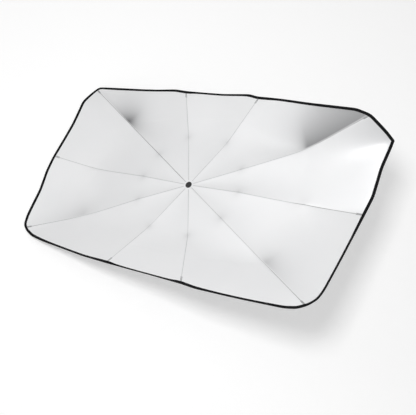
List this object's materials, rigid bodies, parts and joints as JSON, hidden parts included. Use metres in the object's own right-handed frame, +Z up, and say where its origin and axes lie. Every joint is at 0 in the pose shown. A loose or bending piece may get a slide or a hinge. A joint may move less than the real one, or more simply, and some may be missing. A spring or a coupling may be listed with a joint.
{
  "type": "windscreen sunshade",
  "caption": "Folding sunshade for a car windscreen, built like an umbrella: silver cloth on folding steel ribs, with a runner and a short telescoping shaft.",
  "frame": {"origin": "middle of the bounding box on the floor the open shade lies on", "axes": "+X along the long side of the canopy, away from the edge that lies on the floor; +Y along its short side; +Z up from the floor"},
  "size_m": [1.2934, 0.8024, 0.6394],
  "materials": {
    "silver_cloth": "silver-coated woven cloth with a soft sheen",
    "black_tape": "matt black woven binding tape",
    "black_plastic": "fine-grained black moulding",
    "black_steel": "black-coated pressed steel",
    "plated_steel": "bright plated steel"
  },
  "bodies": {
    "shaft": {"upper_tube": "plated_steel", "crown": "black_plastic", "crown_cap": "black_plastic", "runner_stop_collar": "black_plastic", "canopy": "silver_cloth", "edge_binding": "black_tape"},
    "handle": {"lower_tube": "plated_steel", "handle_grip": "black_plastic", "handle_end_cap": "black_plastic"},
    "runner": {"runner": "black_plastic"},
    "button": {"runner_button": "black_plastic"},
    "rib_01_inner": {"rib_01_inner": "black_steel"},
    "rib_01_stretcher": {"rib_01_stretcher": "black_steel"},
    "rib_01_middle": {"rib_01_middle": "black_steel"},
    "rib_01_outer": {"rib_01_outer": "plated_steel", "rib_01_tip": "black_plastic"},
    "rib_02_inner": {"rib_02_inner": "black_steel"},
    "rib_02_stretcher": {"rib_02_stretcher": "black_steel"},
    "rib_02_middle": {"rib_02_middle": "black_steel"},
    "rib_02_outer": {"rib_02_outer": "plated_steel", "rib_02_tip": "black_plastic"},
    "rib_03_inner": {"rib_03_inner": "black_steel"},
    "rib_03_stretcher": {"rib_03_stretcher": "black_steel"},
    "rib_03_outer": {"rib_03_outer": "plated_steel", "rib_03_tip": "black_plastic"},
    "rib_04_inner": {"rib_04_inner": "black_steel"},
    "rib_04_stretcher": {"rib_04_stretcher": "black_steel"},
    "rib_04_outer": {"rib_04_outer": "plated_steel", "rib_04_tip": "black_plastic"},
    "rib_05_inner": {"rib_05_inner": "black_steel"},
    "rib_05_stretcher": {"rib_05_stretcher": "black_steel"},
    "rib_05_middle": {"rib_05_middle": "black_steel"},
    "rib_05_outer": {"rib_05_outer": "plated_steel", "rib_05_tip": "black_plastic"},
    "rib_06_inner": {"rib_06_inner": "black_steel"},
    "rib_06_stretcher": {"rib_06_stretcher": "black_steel"},
    "rib_06_middle": {"rib_06_middle": "black_steel"},
    "rib_06_outer": {"rib_06_outer": "plated_steel", "rib_06_tip": "black_plastic"},
    "rib_07_inner": {"rib_07_inner": "black_steel"},
    "rib_07_stretcher": {"rib_07_stretcher": "black_steel"},
    "rib_07_middle": {"rib_07_middle": "black_steel"},
    "rib_07_outer": {"rib_07_outer": "plated_steel", "rib_07_tip": "black_plastic"},
    "rib_08_inner": {"rib_08_inner": "black_steel"},
    "rib_08_stretcher": {"rib_08_stretcher": "black_steel"},
    "rib_08_outer": {"rib_08_outer": "plated_steel", "rib_08_tip": "black_plastic"},
    "rib_09_inner": {"rib_09_inner": "black_steel"},
    "rib_09_stretcher": {"rib_09_stretcher": "black_steel"},
    "rib_09_outer": {"rib_09_outer": "plated_steel", "rib_09_tip": "black_plastic"},
    "rib_10_inner": {"rib_10_inner": "black_steel"},
    "rib_10_stretcher": {"rib_10_stretcher": "black_steel"},
    "rib_10_middle": {"rib_10_middle": "black_steel"},
    "rib_10_outer": {"rib_10_outer": "plated_steel", "rib_10_tip": "black_plastic"}
  },
  "joints": [
    {"name": "runner_slide", "type": "slide", "parent": "shaft", "child": "runner", "axis": [0.4317, -0.0048, -0.902], "range_m": [0, 0.13751], "deforming": ["canopy", "edge_binding"]},
    {"name": "handle_slide", "type": "slide", "parent": "shaft", "child": "handle", "axis": [0.4317, -0.0048, -0.902], "range_m": [0, 0.085]},
    {"name": "button_press", "type": "slide", "parent": "runner", "child": "button", "axis": [0.3104, 0.9397, 0.1436], "range_m": [0, 0.0009], "stiffness_N_per_m": 2500, "springref_m": -0.0008},
    {"name": "rib_01_inner_fold", "type": "hinge", "parent": "shaft", "child": "rib_01_inner", "pos_m": [0.01165, -0.00388, 0.26525], "axis": [-0.0373, 0.999, -0.0231], "range_deg": [0, 91]},
    {"name": "rib_01_stretcher_fold", "type": "hinge", "parent": "rib_01_inner", "child": "rib_01_stretcher", "pos_m": [0.09431, 0.00003, 0.3008], "axis": [-0.0373, 0.999, -0.0231], "range_deg": [-147, 0]},
    {"name": "rib_01_middle_fold", "type": "hinge", "parent": "rib_01_inner", "child": "rib_01_middle", "pos_m": [0.19519, 0.00507, 0.35616], "axis": [-0.0373, 0.999, -0.0231], "range_deg": [-185, 0]},
    {"name": "rib_01_outer_fold", "type": "hinge", "parent": "rib_01_middle", "child": "rib_01_outer", "pos_m": [0.44224, 0.0163, 0.44285], "axis": [-0.0373, 0.999, -0.0231], "range_deg": [0, 183]},
    {"name": "rib_02_inner_fold", "type": "hinge", "parent": "shaft", "child": "rib_02_inner", "pos_m": [0.00999, 0.00293, 0.26442], "axis": [-0.4216, 0.8829, -0.2065], "range_deg": [0, 91]},
    {"name": "rib_02_stretcher_fold", "type": "hinge", "parent": "rib_02_inner", "child": "rib_02_stretcher", "pos_m": [0.0833, 0.04517, 0.2953], "axis": [-0.4216, 0.8829, -0.2065], "range_deg": [-147, 0]},
    {"name": "rib_02_middle_fold", "type": "hinge", "parent": "rib_02_inner", "child": "rib_02_middle", "pos_m": [0.17224, 0.09919, 0.34468], "axis": [-0.4216, 0.8829, -0.2065], "range_deg": [-178, 0]},
    {"name": "rib_02_outer_fold", "type": "hinge", "parent": "rib_02_middle", "child": "rib_02_outer", "pos_m": [0.37965, 0.22222, 0.44724], "axis": [-0.4216, 0.8829, -0.2065], "range_deg": [0, 199]},
    {"name": "rib_03_inner_fold", "type": "hinge", "parent": "shaft", "child": "rib_03_inner", "pos_m": [0.00301, 0.01009, 0.26104], "axis": [-0.8264, 0.3987, -0.3976], "range_deg": [0, 91]},
    {"name": "rib_03_stretcher_fold", "type": "hinge", "parent": "rib_03_inner", "child": "rib_03_stretcher", "pos_m": [0.03711, 0.09261, 0.27293], "axis": [-0.8264, 0.3987, -0.3976], "range_deg": [-147, 0]},
    {"name": "rib_03_outer_fold", "type": "hinge", "parent": "rib_03_inner", "child": "rib_03_outer", "pos_m": [0.07592, 0.1981, 0.29805], "axis": [-0.8264, 0.3987, -0.3976], "range_deg": [-167, 0]},
    {"name": "rib_04_inner_fold", "type": "hinge", "parent": "shaft", "child": "rib_04_inner", "pos_m": [-0.00873, 0.00998, 0.25542], "axis": [-0.8216, -0.4147, -0.3911], "range_deg": [0, 91]},
    {"name": "rib_04_stretcher_fold", "type": "hinge", "parent": "rib_04_inner", "child": "rib_04_stretcher", "pos_m": [-0.04067, 0.09186, 0.23571], "axis": [-0.8216, -0.4147, -0.3911], "range_deg": [-147, 0]},
    {"name": "rib_04_outer_fold", "type": "hinge", "parent": "rib_04_inner", "child": "rib_04_outer", "pos_m": [-0.08623, 0.19653, 0.22044], "axis": [-0.8216, -0.4147, -0.3911], "range_deg": [-172, 0]},
    {"name": "rib_05_inner_fold", "type": "hinge", "parent": "shaft", "child": "rib_05_inner", "pos_m": [-0.01538, 0.00318, 0.25227], "axis": [-0.4391, -0.8746, -0.2056], "range_deg": [0, 91]},
    {"name": "rib_05_stretcher_fold", "type": "hinge", "parent": "rib_05_inner", "child": "rib_05_stretcher", "pos_m": [-0.08474, 0.04679, 0.21485], "axis": [-0.4391, -0.8746, -0.2056], "range_deg": [-147, 0]},
    {"name": "rib_05_middle_fold", "type": "hinge", "parent": "rib_05_inner", "child": "rib_05_middle", "pos_m": [-0.17811, 0.10258, 0.17696], "axis": [-0.4391, -0.8746, -0.2056], "range_deg": [-181, 0]},
    {"name": "rib_05_outer_fold", "type": "hinge", "parent": "rib_05_middle", "child": "rib_05_outer", "pos_m": [-0.38004, 0.22948, 0.06836], "axis": [-0.4391, -0.8746, -0.2056], "range_deg": [0, 188]},
    {"name": "rib_06_inner_fold", "type": "hinge", "parent": "shaft", "child": "rib_06_inner", "pos_m": [-0.01721, -0.00458, 0.25144], "axis": [-0.0021, -1, 0.0043], "range_deg": [0, 91]},
    {"name": "rib_06_stretcher_fold", "type": "hinge", "parent": "rib_06_inner", "child": "rib_06_stretcher", "pos_m": [-0.09683, -0.0046, 0.20934], "axis": [-0.0021, -1, 0.0043], "range_deg": [-147, 0]},
    {"name": "rib_06_middle_fold", "type": "hinge", "parent": "rib_06_inner", "child": "rib_06_middle", "pos_m": [-0.20332, -0.00457, 0.16546], "axis": [-0.0021, -1, 0.0043], "range_deg": [-183, 0]},
    {"name": "rib_06_outer_fold", "type": "hinge", "parent": "rib_06_middle", "child": "rib_06_outer", "pos_m": [-0.42958, -0.00467, 0.03323], "axis": [-0.0021, -1, 0.0043], "range_deg": [0, 199]},
    {"name": "rib_07_inner_fold", "type": "hinge", "parent": "shaft", "child": "rib_07_inner", "pos_m": [-0.01565, -0.01184, 0.25222], "axis": [0.4077, -0.891, 0.1998], "range_deg": [0, 91]},
    {"name": "rib_07_stretcher_fold", "type": "hinge", "parent": "rib_07_inner", "child": "rib_07_stretcher", "pos_m": [-0.08651, -0.05272, 0.21453], "axis": [0.4077, -0.891, 0.1998], "range_deg": [-147, 0]},
    {"name": "rib_07_middle_fold", "type": "hinge", "parent": "rib_07_inner", "child": "rib_07_middle", "pos_m": [-0.1818, -0.1049, 0.17629], "axis": [0.4077, -0.891, 0.1998], "range_deg": [-182, 0]},
    {"name": "rib_07_outer_fold", "type": "hinge", "parent": "rib_07_middle", "child": "rib_07_outer", "pos_m": [-0.38596, -0.22375, 0.06285], "axis": [0.4077, -0.891, 0.1998], "range_deg": [0, 190]},
    {"name": "rib_08_inner_fold", "type": "hinge", "parent": "shaft", "child": "rib_08_inner", "pos_m": [-0.00879, -0.01914, 0.25555], "axis": [0.8199, -0.4147, 0.3946], "range_deg": [0, 91]},
    {"name": "rib_08_stretcher_fold", "type": "hinge", "parent": "rib_08_inner", "child": "rib_08_stretcher", "pos_m": [-0.04107, -0.10105, 0.23654], "axis": [0.8199, -0.4147, 0.3946], "range_deg": [-147, 0]},
    {"name": "rib_08_outer_fold", "type": "hinge", "parent": "rib_08_inner", "child": "rib_08_outer", "pos_m": [-0.08706, -0.20566, 0.22217], "axis": [0.8199, -0.4147, 0.3946], "range_deg": [-168, 0]},
    {"name": "rib_09_inner_fold", "type": "hinge", "parent": "shaft", "child": "rib_09_inner", "pos_m": [0.00307, -0.0192, 0.26122], "axis": [0.8249, 0.4067, 0.3927], "range_deg": [0, 91]},
    {"name": "rib_09_stretcher_fold", "type": "hinge", "parent": "rib_09_inner", "child": "rib_09_stretcher", "pos_m": [0.03747, -0.10143, 0.27413], "axis": [0.8249, 0.4067, 0.3927], "range_deg": [-147, 0]},
    {"name": "rib_09_outer_fold", "type": "hinge", "parent": "rib_09_inner", "child": "rib_09_outer", "pos_m": [0.07668, -0.20646, 0.30055], "axis": [0.8249, 0.4067, 0.3927], "range_deg": [-165, 0]},
    {"name": "rib_10_inner_fold", "type": "hinge", "parent": "shaft", "child": "rib_10_inner", "pos_m": [0.00989, -0.01221, 0.26445], "axis": [0.4322, 0.8788, 0.2022], "range_deg": [0, 91]},
    {"name": "rib_10_stretcher_fold", "type": "hinge", "parent": "rib_10_inner", "child": "rib_10_stretcher", "pos_m": [0.0827, -0.05517, 0.29554], "axis": [0.4322, 0.8788, 0.2022], "range_deg": [-147, 0]},
    {"name": "rib_10_middle_fold", "type": "hinge", "parent": "rib_10_inner", "child": "rib_10_middle", "pos_m": [0.17099, -0.11002, 0.34518], "axis": [0.4322, 0.8788, 0.2022], "range_deg": [-181, 0]},
    {"name": "rib_10_outer_fold", "type": "hinge", "parent": "rib_10_middle", "child": "rib_10_outer", "pos_m": [0.3836, -0.23498, 0.4338], "axis": [0.4322, 0.8788, 0.2022], "range_deg": [0, 196]}
  ],
  "couplings": [
    {"joint": "rib_01_inner_fold", "follows": "runner_slide", "rad_per_m": 11.296},
    {"joint": "rib_01_stretcher_fold", "follows": "runner_slide", "rad_per_m": -18.412},
    {"joint": "rib_01_middle_fold", "follows": "runner_slide", "rad_per_m": -23.228},
    {"joint": "rib_01_outer_fold", "follows": "runner_slide", "rad_per_m": 23.037},
    {"joint": "rib_02_inner_fold", "follows": "runner_slide", "rad_per_m": 11.296},
    {"joint": "rib_02_stretcher_fold", "follows": "runner_slide", "rad_per_m": -18.412},
    {"joint": "rib_02_middle_fold", "follows": "runner_slide", "rad_per_m": -22.339},
    {"joint": "rib_02_outer_fold", "follows": "runner_slide", "rad_per_m": 25.068},
    {"joint": "rib_03_inner_fold", "follows": "runner_slide", "rad_per_m": 11.296},
    {"joint": "rib_03_stretcher_fold", "follows": "runner_slide", "rad_per_m": -18.412},
    {"joint": "rib_03_outer_fold", "follows": "runner_slide", "rad_per_m": -20.943},
    {"joint": "rib_04_inner_fold", "follows": "runner_slide", "rad_per_m": 11.296},
    {"joint": "rib_04_stretcher_fold", "follows": "runner_slide", "rad_per_m": -18.412},
    {"joint": "rib_04_outer_fold", "follows": "runner_slide", "rad_per_m": -21.578},
    {"joint": "rib_05_inner_fold", "follows": "runner_slide", "rad_per_m": 11.296},
    {"joint": "rib_05_stretcher_fold", "follows": "runner_slide", "rad_per_m": -18.412},
    {"joint": "rib_05_middle_fold", "follows": "runner_slide", "rad_per_m": -22.72},
    {"joint": "rib_05_outer_fold", "follows": "runner_slide", "rad_per_m": 23.608},
    {"joint": "rib_06_inner_fold", "follows": "runner_slide", "rad_per_m": 11.296},
    {"joint": "rib_06_stretcher_fold", "follows": "runner_slide", "rad_per_m": -18.412},
    {"joint": "rib_06_middle_fold", "follows": "runner_slide", "rad_per_m": -23.037},
    {"joint": "rib_06_outer_fold", "follows": "runner_slide", "rad_per_m": 25.068},
    {"joint": "rib_07_inner_fold", "follows": "runner_slide", "rad_per_m": 11.296},
    {"joint": "rib_07_stretcher_fold", "follows": "runner_slide", "rad_per_m": -18.412},
    {"joint": "rib_07_middle_fold", "follows": "runner_slide", "rad_per_m": -22.847},
    {"joint": "rib_07_outer_fold", "follows": "runner_slide", "rad_per_m": 23.926},
    {"joint": "rib_08_inner_fold", "follows": "runner_slide", "rad_per_m": 11.296},
    {"joint": "rib_08_stretcher_fold", "follows": "runner_slide", "rad_per_m": -18.412},
    {"joint": "rib_08_outer_fold", "follows": "runner_slide", "rad_per_m": -21.133},
    {"joint": "rib_09_inner_fold", "follows": "runner_slide", "rad_per_m": 11.296},
    {"joint": "rib_09_stretcher_fold", "follows": "runner_slide", "rad_per_m": -18.412},
    {"joint": "rib_09_outer_fold", "follows": "runner_slide", "rad_per_m": -20.689},
    {"joint": "rib_10_inner_fold", "follows": "runner_slide", "rad_per_m": 11.296},
    {"joint": "rib_10_stretcher_fold", "follows": "runner_slide", "rad_per_m": -18.412},
    {"joint": "rib_10_middle_fold", "follows": "runner_slide", "rad_per_m": -22.783},
    {"joint": "rib_10_outer_fold", "follows": "runner_slide", "rad_per_m": 24.687}
  ]
}
